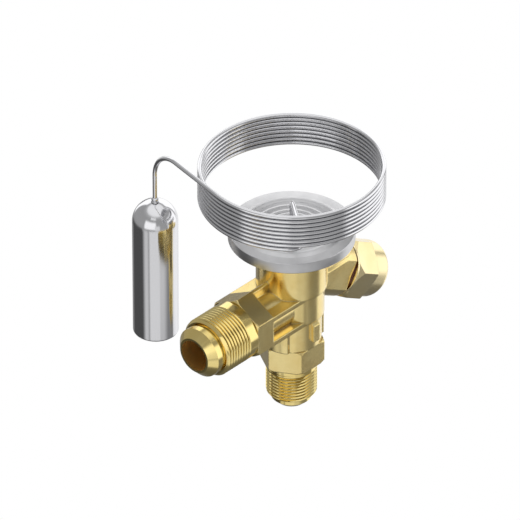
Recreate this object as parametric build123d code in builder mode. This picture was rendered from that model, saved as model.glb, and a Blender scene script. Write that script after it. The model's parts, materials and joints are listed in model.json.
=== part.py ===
from build123d import *
import math
import os

os.makedirs("parts", exist_ok=True)

# Thermostatic expansion valve with flare ports, a capillary coil and a sensing bulb.
# +Z runs up the neck, the outlet arm points to -X, and the adjusting boss to +X.
# The origin is the centre of the inlet's end face. Sizes are in millimetres.

# ---------- play between pieces ----------
slip = 0.05                     # radial play of what turns or slides
play = 0.02                     # radial play of what is screwed or pressed in

# ---------- forged body ----------
arm_height = 38.6               # inlet end to the axis of the outlet arm
neck_d = 22.0
neck_step = 4.9                 # arm axis up to the underside of the neck
neck_top = 19.5                 # arm axis up to the seat of the element
waist_d = 20.2                  # round stretch just below the neck
lower_neck_d = 18.6
web_width = 11.8                # forged webs on both sides of the lower neck
lug_width = 2.6
lug_stand_out = 1.3
lug_top = -5.0                  # heights of the lug from the arm axis
lug_bottom = -12.1

# ---------- inlet flare port, 5/8-18 ----------
inlet_thread_d = 15.875
inlet_thread_length = 10.8
inlet_shank_length = 1.4        # plain stretch between thread and hexagon
inlet_relief_d = 11.8
inlet_relief_length = 0.6
inlet_nose_d = 12.6
inlet_nose_length = 1.2
inlet_cone = 1.4
inlet_bore_d = 8.4
inlet_hex = 18.0                # across the flats
inlet_hex_height = 8.0

# ---------- outlet flare port, 3/4-16 ----------
outlet_reach = 43.5             # neck axis to the mouth
outlet_thread_d = 19.05
outlet_thread_length = 10.4
outlet_shank_length = 2.9
outlet_relief_d = 15.2
outlet_relief_length = 1.0
outlet_nose_d = 16.2
outlet_nose_length = 1.9
outlet_cone = 2.3
outlet_bore_d = 10.2
passage_d = 8.4                 # cross passage between the bore and the valve chamber
thread_chamfer = 0.8

# ---------- outlet arm ----------
arm_hex = 18.5                  # across the flats, with a corner on top
arm_hex_length = 7.1            # full hexagon before the pockets begin
arm_core_d = 15.0
fin_thickness = 1.4             # upright ribs on the parting plane
shelf_thickness = 1.6           # level ribs along the side corners
hex_chamfer = 0.7

# ---------- adjusting boss ----------
boss_tilt = 30.0                # degrees below level
boss_apex = 12.2                # its axis meets the neck axis here, above the arm axis
boss_d = 18.8
boss_flats = 16.0
boss_top = 8.8                  # level top of the boss above the arm axis
boss_edge = 0.8
boss_seat = 21.3                # apex to the gasket seat
spigot_d = 13.2
spigot_length = 6.0
spindle_bore_d = 6.6
bush_bore_d = 9.2
bush_start = 14.0               # apex to the inner end of the bush

# ---------- diaphragm element ----------
element_d = 39.0
rim_bottom = 21.5               # heights above the arm axis
rim_top = 25.3
diaphragm_level = 23.4
diaphragm_t = 0.2
ripple = 0.15                   # height of the diaphragm's waves
ridge_d = 29.2                  # raised ring on the upper cover
ridge_height = 0.9              # above the rim
dish_level = 0.45               # dish inside the ridge, above the rim
dish_waves = [22.2, 17.4, 13.6, 10.2]   # diameters of the raised rings in the dish
wave_height = 0.25
cover_t = 0.9
pressure_chamber_d = 30.4
chamber_floor = 20.8
sleeve_d = 17.8
sleeve_inner_d = 15.4
element_foot_d = 23.2           # where the housing sits on the neck
key_width = 1.6
key_depth = 0.8

# ---------- capillary and bulb ----------
tube_d = 1.44
coil_d = 56.0                   # middle of the turns
coil_pitch = 1.437
coil_top = 48.5                 # above the arm axis
coil_top_angle = 169.5          # degrees, where the tube leaves for the bulb
coil_turns = 8.141
riser_top = 35.0                # where the riser from the element bends over
riser_bend = 1.8
join_bend = 4.5                 # bend from the spoke into the lowest turn
join_setback = 5.75
lead_run = 32.2                 # from the coil to above the bulb
lead_bend = 10.5
bulb_d = 14.2
bulb_length = 48.0
bulb_apex = 28.5                # above the arm axis
bulb_edge = 0.8
collar_length = 1.8
collar_wall = 0.6

# ---------- adjusting mechanism ----------
ring_seat = 11.9                # shoulder of the adjusting ring, above the arm axis
ring_top = 14.6
gear_chamber_d = 14.2
gear_floor = 6.0
ring_bore_d = 10.4
seat_level = 15.75              # underside of the spring seat's flange
seat_flange_t = 1.1
seat_flange_d = 15.0
seat_shank_length = 3.15
seat_bore_d = 6.6
pinion_teeth = 8
ring_teeth = 23
pinion_cone = 20.0              # half angle of the pinion's pitch cone, degrees
pinion_start = 4.95             # along the spindle from the apex
pinion_end = 6.6
tooth_height = 0.95
pinion_neck_d = 3.2
pinion_neck_length = 0.8
spindle_d = 4.4
spindle_collar_length = 1.5
spindle_reach = 27.0            # apex to the spindle's outer end
square_length = 3.0
square_across = 3.1
bush_length = 10.0
o_ring_wall = 1.2               # bush left inside the O-ring's groove
o_ring_wire = 1.24
o_ring_room = 1.6

# ---------- seal cap ----------
gasket_d = 17.8
gasket_t = 0.8
cap_flange_d = 18.5
cap_flange_t = 0.8
cap_hex = 17.8
cap_hex_length = 9.7
cap_lead_in = 2.0               # length of the cone between flange and hexagon
cap_length = 17.4
cap_turn = 19.7                 # degrees that the tightened hexagon stands turned
cap_end_radius = 1.8
cap_thread_depth = 7.5
cap_well_d = 10.0
cap_end_t = 2.6

# ---------- power assembly ----------
plate_d = 29.2
plate_top = 23.35                # above the arm axis
plate_t = 1.0
stroke = 0.8
hub_d = 6.0
hub_bottom = 19.2
rod_d = 3.0
rod_bottom = -6.2
spring_wire = 0.9
spring_d = 10.0                 # middle of the wire
spring_turns = 3.0
packing_d = 5.8
packing_t = 1.2
washer_t = 0.3

# ---------- orifice cartridge and strainer ----------
cartridge_shoulder = -7.5       # heights from the arm axis
chamber_d = 6.8
cartridge_length = 12.0
orifice_d = 2.2
orifice_length = 2.0
cartridge_cavity_d = 5.5
seal_t = 0.5
seal_inner_d = 4.4
pin_stem_d = 1.2
pin_head_d = 3.6
pin_cone = 1.1
pin_head_length = 2.4
pin_tail_d = 2.0
pin_tail_length = 2.6
pin_gap = 0.03
pin_spring_wire = 0.45
pin_spring_d = 3.0
pin_spring_turns = 4.0
retainer_t = 1.4
retainer_holes = 4
retainer_hole_d = 1.1
strainer_length = 14.0
strainer_collar = 1.6
screen_d = 7.2
screen_t = 0.2
strainer_ribs = 4
strainer_rib_width = 1.0

# ---------- derived places ----------
tilt = math.radians(boss_tilt)
boss_axis = Vector(math.cos(tilt), 0, -math.sin(tilt))
boss_up = Vector(math.sin(tilt), 0, math.cos(tilt))
apex = Vector(0, 0, arm_height + boss_apex)

# Turning planes: local X is the radius, and local Y runs along the axis of the piece.
upright = Plane.XZ
outlet_turning = Plane(origin=(-outlet_reach, 0, arm_height), x_dir=(0, 0, 1), z_dir=(0, 1, 0))
boss_turning = Plane(origin=apex, x_dir=boss_up, z_dir=(0, 1, 0))


def level(height):
    """Height above the inlet end of a height given from the arm axis."""
    return arm_height + height


def across_boss(distance):
    """Plane square to the boss axis, a distance from the apex."""
    return Plane(origin=apex + boss_axis * distance, x_dir=boss_up, z_dir=boss_axis)


def outline(points):
    """Closed face from a list of points, in the sketch that is open."""
    Polygon(*points, align=None)


def turned(points, plane=upright):
    """Piece turned from (radius, distance) points about the plane's Y axis."""
    with BuildPart() as lathe:
        with BuildSketch(plane):
            outline(points)
        revolve(axis=Axis(plane.origin, plane.y_dir))
    return lathe


def spring(wire, mean_d, turns, low, high):
    """Round-wire compression spring that stands between two heights."""
    climb = high - low - wire
    with BuildPart() as coil:
        with BuildLine():
            helix = Helix(pitch=climb / turns, height=climb, radius=mean_d / 2,
                          center=(0, 0, low + wire / 2))
        with BuildSketch(Plane(origin=helix @ 0, z_dir=helix % 0)):
            Circle(wire / 2)
        sweep()
    return coil


def port_points(thread_d, thread_length, shank_length, relief_d, relief_length,
                nose_d, nose_length, cone):
    """Half outline of a flare port, from its mouth to its hexagon."""
    nose_end = cone + nose_length
    relief_end = nose_end + relief_length
    shank_end = relief_end + thread_length + shank_length
    return [
        (0, 0),
        (nose_d / 2 - cone, 0),
        (nose_d / 2, cone),
        (nose_d / 2, nose_end),
        (relief_d / 2, nose_end),
        (relief_d / 2, relief_end),
        (thread_d / 2 - thread_chamfer, relief_end),
        (thread_d / 2, relief_end + thread_chamfer),
        (thread_d / 2, shank_end),
        (0, shank_end),
    ]


inlet_hex_bottom = inlet_cone + inlet_nose_length + inlet_relief_length + inlet_thread_length
inlet_hex_bottom += inlet_shank_length
inlet_hex_top = inlet_hex_bottom + inlet_hex_height
port_length = outlet_cone + outlet_nose_length + outlet_relief_length + outlet_thread_length
port_length += outlet_shank_length
arm_hex_start = outlet_reach - port_length        # neck axis to the arm's hexagon
pocket_start = arm_hex_start - arm_hex_length
shelf_level = arm_hex / 2 / math.sqrt(3) - shelf_thickness / 2
hex_corner = 2 / math.sqrt(3)                     # corner radius over flat radius

# ---------- body: blanks ----------
with BuildPart() as inlet_nut:
    with BuildSketch(Plane.XY.offset(inlet_hex_bottom)):
        RegularPolygon(inlet_hex / 2, 6, major_radius=False)
    extrude(amount=inlet_hex_height)
    with BuildSketch(upright):
        corner = inlet_hex / 2 * hex_corner
        outline([
            (0, inlet_hex_bottom),
            (corner - hex_chamfer, inlet_hex_bottom),
            (corner, inlet_hex_bottom + hex_chamfer),
            (corner, inlet_hex_top - hex_chamfer),
            (corner - hex_chamfer, inlet_hex_top),
            (0, inlet_hex_top),
        ])
    revolve(axis=Axis.Z, mode=Mode.INTERSECT)

with BuildPart() as arm:
    with BuildSketch(Plane.YZ.offset(-arm_hex_start)):
        with Locations((0, arm_height)):
            RegularPolygon(arm_hex / 2, 6, major_radius=False, rotation=90)
    extrude(amount=arm_hex_start)
    with BuildSketch(outlet_turning):
        corner = arm_hex / 2 * hex_corner
        outline([
            (0, port_length),
            (corner - hex_chamfer, port_length),
            (corner, port_length + hex_chamfer),
            (corner, outlet_reach),
            (0, outlet_reach),
        ])
    revolve(axis=Axis(outlet_turning.origin, outlet_turning.y_dir), mode=Mode.INTERSECT)
    # pockets between the ribs, open to both sides of the parting plane
    with BuildSketch(Plane.YZ.offset(-pocket_start)):
        with Locations((0, arm_height)):
            Rectangle(2 * arm_hex, 2 * arm_hex)
            Circle(arm_core_d / 2, mode=Mode.SUBTRACT)
            Rectangle(fin_thickness, 2 * arm_hex, mode=Mode.SUBTRACT)
            with Locations((0, shelf_level), (0, -shelf_level)):
                Rectangle(2 * arm_hex, shelf_thickness, mode=Mode.SUBTRACT)
            Rectangle(fin_thickness, 2 * arm_hex, mode=Mode.SUBTRACT)
    extrude(amount=pocket_start, mode=Mode.SUBTRACT)

with BuildPart() as boss:
    with BuildSketch(across_boss(0)):
        Circle(boss_d / 2)
    extrude(amount=boss_seat)
    with BuildSketch(Plane.YZ):
        half = boss_flats / 2
        outline([
            (-half, 0),
            (half, 0),
            (half, level(boss_top) - boss_edge),
            (half - boss_edge, level(boss_top)),
            (boss_edge - half, level(boss_top)),
            (-half, level(boss_top) - boss_edge),
        ])
    extrude(amount=2 * boss_seat, mode=Mode.INTERSECT)

# ---------- valve body ----------
with BuildPart() as valve_body:
    with BuildSketch(upright):
        outline(port_points(inlet_thread_d, inlet_thread_length, inlet_shank_length,
                            inlet_relief_d, inlet_relief_length,
                            inlet_nose_d, inlet_nose_length, inlet_cone))
    revolve(axis=Axis.Z)
    add(inlet_nut.part)
    # lower neck, its webs, the waist and the neck
    with BuildSketch(Plane.XY.offset(inlet_hex_top)):
        Circle(waist_d / 2)
        Rectangle(waist_d, web_width, mode=Mode.INTERSECT)
        Circle(lower_neck_d / 2)
    extrude(amount=level(neck_step) - inlet_hex_top)
    with BuildSketch(Plane.XY.offset(level(lug_top))):
        Circle(waist_d / 2)
    extrude(amount=neck_step - lug_top)
    with BuildSketch(Plane.XY.offset(level(neck_step))):
        Circle(neck_d / 2)
    extrude(amount=neck_top - neck_step)
    add(arm.part)
    with BuildSketch(outlet_turning):
        outline(port_points(outlet_thread_d, outlet_thread_length, outlet_shank_length,
                            outlet_relief_d, outlet_relief_length,
                            outlet_nose_d, outlet_nose_length, outlet_cone))
    revolve(axis=Axis(outlet_turning.origin, outlet_turning.y_dir))
    add(boss.part)
    with BuildSketch(across_boss(0)):
        Circle(spigot_d / 2)
    extrude(amount=boss_seat + spigot_length)
    # lug on the side of the lower neck
    with BuildSketch(Plane.YZ.offset(-lug_width / 2)):
        front = -lower_neck_d / 2 - lug_stand_out
        outline([
            (0, level(lug_bottom)),
            (front, level(lug_bottom)),
            (front, level(lug_top) - lug_stand_out),
            (front + lug_stand_out, level(lug_top)),
            (0, level(lug_top)),
        ])
    extrude(amount=lug_width)
    # upright bores: element, adjusting ring, gears, push rod, valve chamber and inlet
    with BuildSketch(upright):
        outline([
            (0, 0),
            (inlet_bore_d / 2, 0),
            (inlet_bore_d / 2, level(cartridge_shoulder)),
            (chamber_d / 2, level(cartridge_shoulder)),
            (chamber_d / 2, arm_height),
            (rod_d / 2 + slip, arm_height),
            (rod_d / 2 + slip, level(gear_floor)),
            (gear_chamber_d / 2, level(gear_floor)),
            (gear_chamber_d / 2, level(ring_seat)),
            (sleeve_d / 2, level(ring_seat)),
            (sleeve_d / 2, level(neck_top)),
            (0, level(neck_top)),
        ])
    revolve(axis=Axis.Z, mode=Mode.SUBTRACT)
    # outlet bore and cross passage
    with BuildSketch(Plane.YZ.offset(-outlet_reach)):
        with Locations((0, arm_height)):
            Circle(outlet_bore_d / 2)
    extrude(amount=outlet_reach - neck_d / 2, mode=Mode.SUBTRACT)
    with BuildSketch(Plane.YZ.offset(-neck_d / 2)):
        with Locations((0, arm_height)):
            Circle(passage_d / 2)
    extrude(amount=neck_d / 2 + chamber_d / 2, mode=Mode.SUBTRACT)
    # bores of the spindle and of its bush
    with BuildSketch(across_boss(pinion_start - 1)):
        Circle(spindle_bore_d / 2)
    extrude(amount=bush_start - pinion_start + 1, mode=Mode.SUBTRACT)
    with BuildSketch(across_boss(bush_start)):
        Circle(bush_bore_d / 2)
    extrude(amount=boss_seat + spigot_length - bush_start, mode=Mode.SUBTRACT)

# ---------- diaphragm element ----------
with BuildPart() as element_housing:
    with BuildSketch(upright):
        outline([
            (sleeve_inner_d / 2, level(ring_top) + 2 * slip),
            (sleeve_d / 2 - play, level(ring_top) + 2 * slip),
            (sleeve_d / 2 - play, level(neck_top)),
            (element_foot_d / 2, level(neck_top)),
            (element_d / 2 - 2, level(rim_bottom)),
            (element_d / 2, level(rim_bottom)),
            (element_d / 2, level(diaphragm_level)),
            (pressure_chamber_d / 2, level(diaphragm_level)),
            (pressure_chamber_d / 2, level(chamber_floor)),
            (sleeve_inner_d / 2, level(chamber_floor)),
        ])
    revolve(axis=Axis.Z)
    # keys that stop the spring seat from turning
    with BuildSketch(Plane.XY.offset(level(ring_top) + 2 * slip)):
        Circle(sleeve_inner_d / 2 + play)
        Rectangle(key_width, sleeve_inner_d + 1, mode=Mode.INTERSECT)
        Circle(sleeve_inner_d / 2 - key_depth, mode=Mode.SUBTRACT)
    extrude(amount=chamber_floor - ring_top - 1)

wave_out = pressure_chamber_d / 2 - 1
wave_count = 3
wave_in = hub_d / 2 + 2
wave = (wave_out - wave_in) / (2 * wave_count)
low_side = [(wave_in + wave * k, level(diaphragm_level) + ripple * (k % 2))
            for k in range(2 * wave_count + 1)]
with BuildPart() as diaphragm:
    with BuildSketch(upright):
        top_side = [(r, z + diaphragm_t) for r, z in low_side]
        outline(
            [(0, level(diaphragm_level))] + low_side
            + [(element_d / 2 - 0.1, level(diaphragm_level)),
               (element_d / 2 - 0.1, level(diaphragm_level) + diaphragm_t)]
            + top_side[::-1] + [(0, level(diaphragm_level) + diaphragm_t)]
        )
    revolve(axis=Axis.Z)

cover_bottom = level(diaphragm_level) + diaphragm_t
dish = level(rim_top) + dish_level
dish_points = []
for diameter in dish_waves:
    dish_points += [
        (diameter / 2 + 0.6, dish),
        (diameter / 2 + 0.15, dish + wave_height),
        (diameter / 2 - 0.15, dish + wave_height),
        (diameter / 2 - 0.6, dish),
    ]
with BuildPart() as element_cover:
    with BuildSketch(upright):
        outline(
            [(tube_d / 2 + play, dish - cover_t),
             (ridge_d / 2 - 1.2, dish - cover_t),
             (pressure_chamber_d / 2, level(rim_top) - cover_t),
             (pressure_chamber_d / 2, cover_bottom),
             (element_d / 2, cover_bottom),
             (element_d / 2, level(rim_top) - 0.3),
             (element_d / 2 - 0.3, level(rim_top)),
             (ridge_d / 2 + 0.4, level(rim_top) + ridge_height - 0.4),
             (ridge_d / 2 + 0.2, level(rim_top) + ridge_height),
             (ridge_d / 2 - 0.2, level(rim_top) + ridge_height),
             (ridge_d / 2 - 1.2, dish)]
            + dish_points
            + [(tube_d / 2 + play, dish)]
        )
    revolve(axis=Axis.Z)

# ---------- power assembly ----------
plate_bottom = level(plate_top) - plate_t
thrust_plate = turned([
    (0, level(plate_top)),
    (plate_d / 2, level(plate_top)),
    (plate_d / 2, plate_bottom),
    (hub_d / 2, plate_bottom),
    (hub_d / 2, level(hub_bottom)),
    (rod_d / 2 + play, level(hub_bottom)),
    (rod_d / 2 + play, plate_bottom),
    (0, plate_bottom),
])
push_rod = turned([
    (0, level(rod_bottom)),
    (rod_d / 2, level(rod_bottom)),
    (rod_d / 2, plate_bottom),
    (0, plate_bottom),
])
superheat_spring = spring(spring_wire, spring_d, spring_turns,
                          level(seat_level) + seat_flange_t, plate_bottom)
packing_ring = turned([
    (rod_d / 2 + play, level(gear_floor)),
    (packing_d / 2, level(gear_floor)),
    (packing_d / 2, level(gear_floor) + packing_t),
    (rod_d / 2 + play, level(gear_floor) + packing_t),
])
packing_washer = turned([
    (rod_d / 2 + slip, level(gear_floor) + packing_t),
    (packing_d / 2, level(gear_floor) + packing_t),
    (packing_d / 2, level(gear_floor) + packing_t + washer_t),
    (rod_d / 2 + slip, level(gear_floor) + packing_t + washer_t),
])

# ---------- adjusting mechanism ----------
with BuildPart() as spring_seat:
    with BuildSketch(Plane.XY.offset(level(seat_level))):
        Circle(seat_flange_d / 2)
        Circle(seat_bore_d / 2, mode=Mode.SUBTRACT)
        with Locations((0, seat_flange_d / 2), (0, -seat_flange_d / 2)):
            Rectangle(key_width + 4 * slip, 2 * key_depth, mode=Mode.SUBTRACT)
    extrude(amount=seat_flange_t)
    with BuildSketch(Plane.XY.offset(level(seat_level))):
        Circle(ring_bore_d / 2 - slip)
        Circle(seat_bore_d / 2, mode=Mode.SUBTRACT)
    extrude(amount=-seat_shank_length)

pitch_slope = math.tan(math.radians(boss_tilt - pinion_cone))
tooth_inner = ring_bore_d / 2 + slip
tooth_outer = gear_chamber_d / 2 - 3 * slip
with BuildPart() as ring_tooth:
    for radius in (tooth_inner, tooth_outer):
        share = radius / tooth_outer
        pitch_level = level(boss_apex) - radius * pitch_slope
        half_root = 0.28 * 2 * math.pi * tooth_outer / ring_teeth * share
        with BuildSketch(Plane.YZ.offset(radius)):
            outline([
                (-half_root, level(ring_seat) + 0.1),
                (half_root, level(ring_seat) + 0.1),
                (0.4 * half_root, pitch_level - tooth_height / 2 * share),
                (-0.4 * half_root, pitch_level - tooth_height / 2 * share),
            ])
    loft(ruled=True)

with BuildPart() as adjusting_ring:
    with BuildSketch(Plane.XY.offset(level(ring_seat) + slip)):
        Circle(sleeve_d / 2 - slip)
        Circle(ring_bore_d / 2, mode=Mode.SUBTRACT)
    extrude(amount=ring_top - ring_seat - slip)
    with PolarLocations(0, ring_teeth, start_angle=180 / ring_teeth):
        add(ring_tooth.part)


def pinion_points(distance):
    """Toothed outline of the pinion a distance from the apex."""
    pitch_r = distance * math.tan(math.radians(pinion_cone))
    share = distance / pinion_end
    root = pitch_r - tooth_height / 2 * share
    tip = pitch_r + tooth_height / 2 * share
    corners = ((root, -13), (tip, -6), (tip, 6), (root, 13))
    return [
        (r * math.cos(math.radians(a + 360 * k / pinion_teeth)),
         r * math.sin(math.radians(a + 360 * k / pinion_teeth)))
        for k in range(pinion_teeth) for r, a in corners
    ]


collar_start = bush_start - spindle_collar_length - 2 * slip
with BuildPart() as setting_spindle:
    for distance in (pinion_start, pinion_end):
        with BuildSketch(across_boss(distance)):
            outline(pinion_points(distance))
    loft(ruled=True)
    with BuildSketch(across_boss(pinion_end)):
        Circle(pinion_neck_d / 2)
    extrude(amount=pinion_neck_length)
    with BuildSketch(across_boss(pinion_end + pinion_neck_length)):
        Circle(spindle_d / 2)
    extrude(amount=spindle_reach - square_length - pinion_end - pinion_neck_length)
    with BuildSketch(across_boss(collar_start)):
        Circle(spindle_bore_d / 2 - slip)
    extrude(amount=spindle_collar_length)
    with BuildSketch(across_boss(spindle_reach - square_length)):
        Rectangle(square_across, square_across)
    extrude(amount=square_length)

o_ring_r = spindle_d / 2 + slip + o_ring_wire / 2
o_ring_low = bush_start + o_ring_wall
o_ring_high = o_ring_low + o_ring_room
groove_r = o_ring_r + o_ring_wire / 2 + play
spindle_bush = turned([
    (spindle_d / 2 + slip, bush_start),
    (bush_bore_d / 2 - play, bush_start),
    (bush_bore_d / 2 - play, bush_start + bush_length),
    (spindle_d / 2 + slip, bush_start + bush_length),
    (spindle_d / 2 + slip, o_ring_high),
    (groove_r, o_ring_high),
    (groove_r, o_ring_low),
    (spindle_d / 2 + slip, o_ring_low),
], boss_turning)
with BuildPart() as spindle_o_ring:
    with BuildSketch(boss_turning):
        with Locations((o_ring_r, (o_ring_low + o_ring_high) / 2)):
            Circle(o_ring_wire / 2)
    revolve(axis=Axis(boss_turning.origin, boss_turning.y_dir))

# ---------- seal cap ----------
gasket_end = boss_seat + gasket_t
cap_gasket = turned([
    (spigot_d / 2 + slip, boss_seat),
    (gasket_d / 2, boss_seat),
    (gasket_d / 2, gasket_end),
    (spigot_d / 2 + slip, gasket_end),
], boss_turning)

hex_start = gasket_end + cap_flange_t
hex_end = hex_start + cap_hex_length
cap_end = gasket_end + cap_length
cap_corner = cap_hex / 2 * hex_corner
with BuildPart() as seal_cap:
    with BuildSketch(across_boss(hex_start)):
        RegularPolygon(cap_hex / 2, 6, major_radius=False, rotation=cap_turn)
    extrude(amount=cap_hex_length)
    with BuildSketch(boss_turning):
        outline([
            (0, hex_start),
            (cap_hex / 2, hex_start),
            (cap_corner, hex_start + cap_lead_in),
            (cap_corner, hex_end - hex_chamfer),
            (cap_hex / 2, hex_end),
            (0, hex_end),
        ])
    revolve(axis=Axis(boss_turning.origin, boss_turning.y_dir), mode=Mode.INTERSECT)
    with BuildSketch(across_boss(gasket_end)):
        Circle(cap_flange_d / 2)
    extrude(amount=cap_flange_t)
    with BuildSketch(across_boss(hex_end)):
        Circle(cap_hex / 2)
    dome = extrude(amount=cap_end - hex_end)
    fillet(edges().filter_by(GeomType.CIRCLE).sort_by(Axis(apex, boss_axis))[-1], cap_end_radius)
    with BuildSketch(across_boss(gasket_end)):
        Circle(spigot_d / 2 + slip)
    extrude(amount=cap_thread_depth, mode=Mode.SUBTRACT)
    with BuildSketch(across_boss(gasket_end)):
        Circle(cap_well_d / 2)
    extrude(amount=cap_length - cap_end_t, mode=Mode.SUBTRACT)

# ---------- orifice cartridge ----------
seal_bottom = level(cartridge_shoulder) - seal_t
cartridge_bottom = seal_bottom - cartridge_length
orifice_bottom = seal_bottom - orifice_length
cartridge_r = inlet_bore_d / 2 - play
orifice_seal = turned([
    (seal_inner_d / 2, seal_bottom),
    (cartridge_r, seal_bottom),
    (cartridge_r, level(cartridge_shoulder)),
    (seal_inner_d / 2, level(cartridge_shoulder)),
])
orifice_body = turned([
    (orifice_d / 2, seal_bottom),
    (cartridge_r, seal_bottom),
    (cartridge_r, cartridge_bottom),
    (cartridge_cavity_d / 2, cartridge_bottom),
    (cartridge_cavity_d / 2, orifice_bottom),
    (orifice_d / 2, orifice_bottom),
])
head_top = orifice_bottom - pin_gap
head_bottom = head_top - pin_head_length
metering_pin = turned([
    (0, level(rod_bottom)),
    (pin_stem_d / 2, level(rod_bottom)),
    (pin_stem_d / 2, head_top),
    (orifice_d / 2 - 2 * pin_gap, head_top),
    (pin_head_d / 2, head_top - pin_cone),
    (pin_head_d / 2, head_bottom),
    (pin_tail_d / 2, head_bottom),
    (pin_tail_d / 2, head_bottom - pin_tail_length),
    (0, head_bottom - pin_tail_length),
])
retainer_top = cartridge_bottom + retainer_t
with BuildPart() as spring_retainer:
    with BuildSketch(Plane.XY.offset(cartridge_bottom)):
        Circle(cartridge_cavity_d / 2 - play)
        with PolarLocations(cartridge_cavity_d / 4 + 0.25, retainer_holes):
            Circle(retainer_hole_d / 2, mode=Mode.SUBTRACT)
    extrude(amount=retainer_t)
pin_spring = spring(pin_spring_wire, pin_spring_d, pin_spring_turns, retainer_top, head_bottom)

# ---------- strainer ----------
strainer_bottom = cartridge_bottom - strainer_length
with BuildPart() as strainer_frame:
    with BuildSketch(upright):
        outline([
            (screen_d / 2 - screen_t - 0.4, cartridge_bottom),
            (cartridge_r, cartridge_bottom),
            (cartridge_r, cartridge_bottom - strainer_collar),
            (screen_d / 2 - screen_t, cartridge_bottom - strainer_collar),
            (screen_d / 2 - screen_t - 0.4, cartridge_bottom - strainer_collar),
        ])
    revolve(axis=Axis.Z)
    with BuildSketch(Plane.XY.offset(strainer_bottom)):
        with PolarLocations(0, strainer_ribs):
            Rectangle(screen_d, strainer_rib_width, align=(Align.MIN, Align.CENTER))
        Circle(screen_d / 2 - screen_t - play, mode=Mode.INTERSECT)
        Circle(screen_d / 2 - screen_t - 0.6, mode=Mode.SUBTRACT)
    extrude(amount=strainer_length - strainer_collar)
    with BuildSketch(Plane.XY.offset(strainer_bottom)):
        Circle(screen_d / 2)
    extrude(amount=-0.8)
with BuildPart() as strainer_screen:
    with BuildSketch(Plane.XY.offset(strainer_bottom)):
        Circle(screen_d / 2)
        Circle(screen_d / 2 - screen_t, mode=Mode.SUBTRACT)
    extrude(amount=strainer_length - strainer_collar)

# ---------- capillary tube ----------
# The riser leaves the element, a spoke crosses to the lowest turn, and the top turn
# runs off straight to the bend above the bulb.
coil_height = coil_turns * coil_pitch
coil_start_angle = coil_top_angle + 360 * coil_turns
turns = Helix(pitch=coil_pitch, height=coil_height, radius=coil_d / 2,
              center=(0, 0, level(coil_top) - coil_height), lefthand=True)
turns = turns.rotate(Axis.Z, coil_start_angle)
lead_end = turns @ 1 + (turns % 1) * lead_run
spoke_end = turns @ 0 - (turns % 0) * join_setback
bulb_top = level(bulb_apex)
tube_start = dish - cover_t
with BuildPart() as capillary_tube:
    with BuildLine() as route:
        inner = FilletPolyline((0, 0, tube_start), (0, 0, level(riser_top)), spoke_end, turns @ 0,
                               radius=[riser_bend, join_bend])
        add(turns)
        outer = FilletPolyline(turns @ 1, lead_end, (lead_end.X, lead_end.Y, bulb_top - 1),
                               radius=lead_bend)
    with BuildSketch(Plane(origin=inner @ 0, z_dir=inner % 0)):
        Circle(tube_d / 2)
    sweep(path=route.wires()[0])

# ---------- bulb and collars ----------
bulb_plane = Plane(origin=(lead_end.X, lead_end.Y, 0), x_dir=(1, 0, 0), z_dir=(0, -1, 0))
with BuildPart() as sensing_bulb:
    with BuildSketch(bulb_plane):
        with BuildLine():
            Line((0, bulb_top), (0, bulb_top - bulb_length))
            Line((0, bulb_top - bulb_length), (bulb_d / 2, bulb_top - bulb_length))
            Line((bulb_d / 2, bulb_top - bulb_length), (bulb_d / 2, bulb_top - bulb_d / 2))
            CenterArc((0, bulb_top - bulb_d / 2), bulb_d / 2, 0, 90)
        make_face()
    revolve(axis=Axis(bulb_plane.origin, bulb_plane.y_dir))
    fillet(edges().group_by(Axis.Z)[0], bulb_edge)
    with BuildSketch(Plane(origin=(lead_end.X, lead_end.Y, bulb_top - 1))):
        Circle(tube_d / 2 + play)
    extrude(amount=2, mode=Mode.SUBTRACT)


def collar(plane, foot):
    """Short brazed collar round the tube, standing on a foot level."""
    return turned([
        (tube_d / 2 + play, foot),
        (tube_d / 2 + collar_wall + 0.3, foot),
        (tube_d / 2 + collar_wall, foot + collar_length * 0.6),
        (tube_d / 2 + play, foot + collar_length),
    ], plane)


element_collar = collar(upright, dish)
bulb_collar = collar(bulb_plane, bulb_top)

pieces = {
    "valve_body": valve_body,
    "element_housing": element_housing,
    "diaphragm": diaphragm,
    "element_cover": element_cover,
    "element_collar": element_collar,
    "capillary_tube": capillary_tube,
    "bulb_collar": bulb_collar,
    "sensing_bulb": sensing_bulb,
    "thrust_plate": thrust_plate,
    "push_rod": push_rod,
    "superheat_spring": superheat_spring,
    "packing_ring": packing_ring,
    "packing_washer": packing_washer,
    "spring_seat": spring_seat,
    "adjusting_ring": adjusting_ring,
    "setting_spindle": setting_spindle,
    "spindle_bush": spindle_bush,
    "spindle_o_ring": spindle_o_ring,
    "cap_gasket": cap_gasket,
    "seal_cap": seal_cap,
    "orifice_seal": orifice_seal,
    "orifice_body": orifice_body,
    "metering_pin": metering_pin,
    "pin_spring": pin_spring,
    "spring_retainer": spring_retainer,
    "strainer_frame": strainer_frame,
    "strainer_screen": strainer_screen,
}
for name, piece in pieces.items():
    piece.part.label = name
    export_step(piece.part, f"parts/{name}.step")
    print(name, len(piece.part.solids()), round(piece.part.volume, 2))
print("bulb axis", lead_end)
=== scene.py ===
import json
import math

import bpy
import bmesh
import numpy as np
from mathutils import Matrix, Vector


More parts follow.
